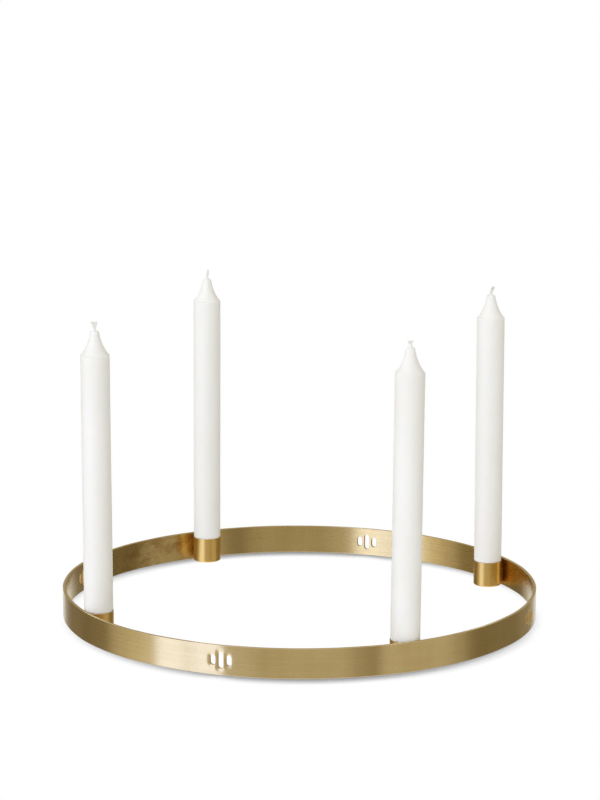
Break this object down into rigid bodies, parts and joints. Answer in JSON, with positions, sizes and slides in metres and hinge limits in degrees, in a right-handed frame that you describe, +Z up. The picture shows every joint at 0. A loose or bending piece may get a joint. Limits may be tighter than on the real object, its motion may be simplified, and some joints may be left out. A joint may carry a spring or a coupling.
{
  "type": "advent candle holder",
  "caption": "Brass hoop standing on edge, with thin candle cups brazed inside it, slots between them for ribbon, and a white candle that lifts out of each cup.",
  "frame": {"origin": "centre of the hoop, on the surface that it stands on", "axes": "+Z up along the hoop's axis; +X and -Y through two of the slot groups, the group on -Y being the one nearest the viewer of the picture; the cups lie on the diagonals"},
  "size_m": [0.37, 0.37, 0.2465],
  "materials": {
    "hoop_brass": "brushed, lightly aged",
    "cup_brass": "satin",
    "braze_metal": "as cast",
    "wax": "smooth, waxy",
    "wick_cotton": "braided cotton"
  },
  "bodies": {
    "holder": {"hoop": "hoop_brass", "cup_front_left": "cup_brass", "cup_back_left": "cup_brass", "cup_front_right": "cup_brass", "cup_back_right": "cup_brass", "braze_front_left": "braze_metal", "braze_back_left": "braze_metal", "braze_front_right": "braze_metal", "braze_back_right": "braze_metal"},
    "candle_front_left": {"candle_front_left": "wax", "wick_front_left": "wick_cotton"},
    "candle_back_left": {"candle_back_left": "wax", "wick_back_left": "wick_cotton"},
    "candle_front_right": {"candle_front_right": "wax", "wick_front_right": "wick_cotton"},
    "candle_back_right": {"candle_back_right": "wax", "wick_back_right": "wick_cotton"}
  },
  "joints": [
    {"name": "lift_front_left", "type": "slide", "parent": "holder", "child": "candle_front_left", "axis": [0, 0, 1], "range_m": [0, 0.03]},
    {"name": "lift_back_left", "type": "slide", "parent": "holder", "child": "candle_back_left", "axis": [0, 0, 1], "range_m": [0, 0.03]},
    {"name": "lift_front_right", "type": "slide", "parent": "holder", "child": "candle_front_right", "axis": [0, 0, 1], "range_m": [0, 0.03]},
    {"name": "lift_back_right", "type": "slide", "parent": "holder", "child": "candle_back_right", "axis": [0, 0, 1], "range_m": [0, 0.03]}
  ]
}
